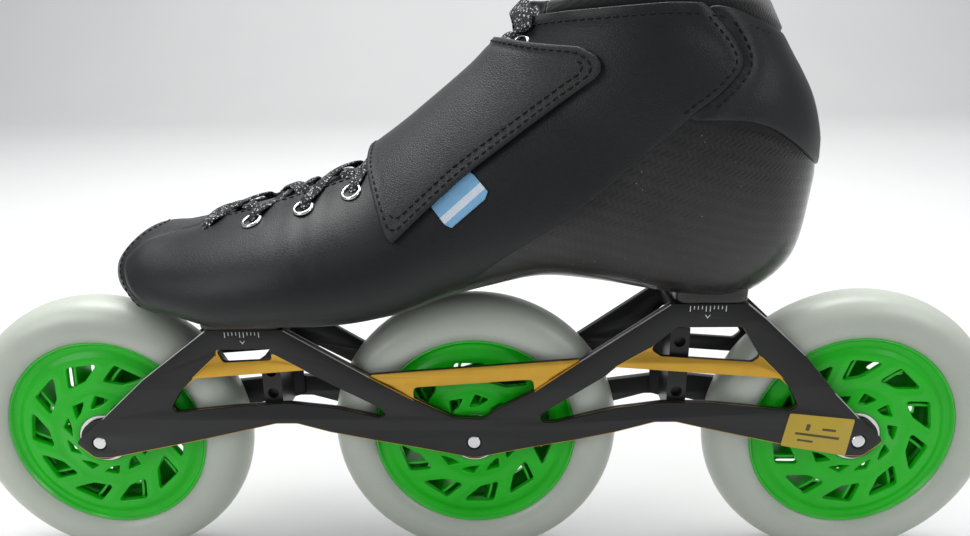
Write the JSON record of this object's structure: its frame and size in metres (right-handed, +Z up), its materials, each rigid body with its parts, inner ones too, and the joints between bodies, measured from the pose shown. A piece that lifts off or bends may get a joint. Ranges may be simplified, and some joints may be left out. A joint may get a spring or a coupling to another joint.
{
  "type": "inline skate",
  "caption": "Low-cut inline speed skate: laced boot with strap flap on a carbon base, two-plate truss frame, large wheels in line on bearings.",
  "frame": {"origin": "on the ground, midway along the skate's length and on the wheels' mid-plane, under the middle wheel's centre", "axes": "+X from toe to heel, +Y to the inner side of the foot, +Z up"},
  "size_m": [0.453, 0.0976, 0.2412],
  "materials": {
    "tyre_urethane": "satin",
    "core_green": "gloss",
    "steel": "satin",
    "eyelet_steel": "polished",
    "frame_black": "satin black anodised",
    "carbon": "gloss",
    "leather": "satin",
    "lining": "matt",
    "lace": "matt",
    "tab_blue": "matt"
  },
  "bodies": {
    "boot_and_frame": {"boot_shell": "carbon", "collar_padding": "lining", "eyelet_inner_1": "eyelet_steel", "eyelet_inner_2": "eyelet_steel", "eyelet_inner_3": "eyelet_steel", "eyelet_inner_4": "eyelet_steel", "eyelet_inner_5": "eyelet_steel", "eyelet_inner_6": "eyelet_steel", "eyelet_inner_7": "eyelet_steel", "eyelet_outer_1": "eyelet_steel", "eyelet_outer_2": "eyelet_steel", "eyelet_outer_3": "eyelet_steel", "eyelet_outer_4": "eyelet_steel", "eyelet_outer_5": "eyelet_steel", "eyelet_outer_6": "eyelet_steel", "eyelet_outer_7": "eyelet_steel", "flap_anchor": "leather", "frame_plate_left": "frame_black", "frame_plate_right": "frame_black", "front_axle_bolt": "steel", "front_bearing_spacer": "steel", "front_cross_web": "frame_black", "front_mount_bolt": "steel", "front_mount_deck": "frame_black", "front_mount_insert": "steel", "front_mount_washer": "steel", "heel_cuff": "leather", "heel_cup": "carbon", "insole": "lining", "lace_top": "lace", "laces": "lace", "middle_axle_bolt": "steel", "middle_bearing_spacer": "steel", "quarter_inner": "leather", "quarter_outer": "leather", "rear_axle_bolt": "steel", "rear_bearing_spacer": "steel", "rear_cross_web": "frame_black", "rear_mount_bolt": "steel", "rear_mount_deck": "frame_black", "rear_mount_insert": "steel", "rear_mount_washer": "steel", "toe_cap": "leather", "tongue": "lining"},
    "front_wheel": {"front_tyre": "tyre_urethane", "front_core": "core_green", "front_bearing_left": "steel", "front_bearing_right": "steel"},
    "middle_wheel": {"middle_tyre": "tyre_urethane", "middle_core": "core_green", "middle_bearing_left": "steel", "middle_bearing_right": "steel"},
    "rear_wheel": {"rear_tyre": "tyre_urethane", "rear_core": "core_green", "rear_bearing_left": "steel", "rear_bearing_right": "steel"},
    "closure": {"closure_flap": "leather", "flap_tab": "tab_blue"}
  },
  "joints": [
    {"name": "front_wheel_spin", "type": "hinge", "parent": "boot_and_frame", "child": "front_wheel", "pos_m": [-0.164, 0, 0.0625], "axis": [0, 1, 0], "continuous": true},
    {"name": "middle_wheel_spin", "type": "hinge", "parent": "boot_and_frame", "child": "middle_wheel", "pos_m": [0, 0, 0.0625], "axis": [0, 1, 0], "continuous": true},
    {"name": "rear_wheel_spin", "type": "hinge", "parent": "boot_and_frame", "child": "rear_wheel", "pos_m": [0.164, 0, 0.0625], "axis": [0, 1, 0], "continuous": true},
    {"name": "closure_flap_hinge", "type": "hinge", "parent": "boot_and_frame", "child": "closure", "pos_m": [-0.03326, 0.03633, 0.17024], "axis": [-0.8636, 0.0663, -0.4999], "range_deg": [0, 80]}
  ]
}
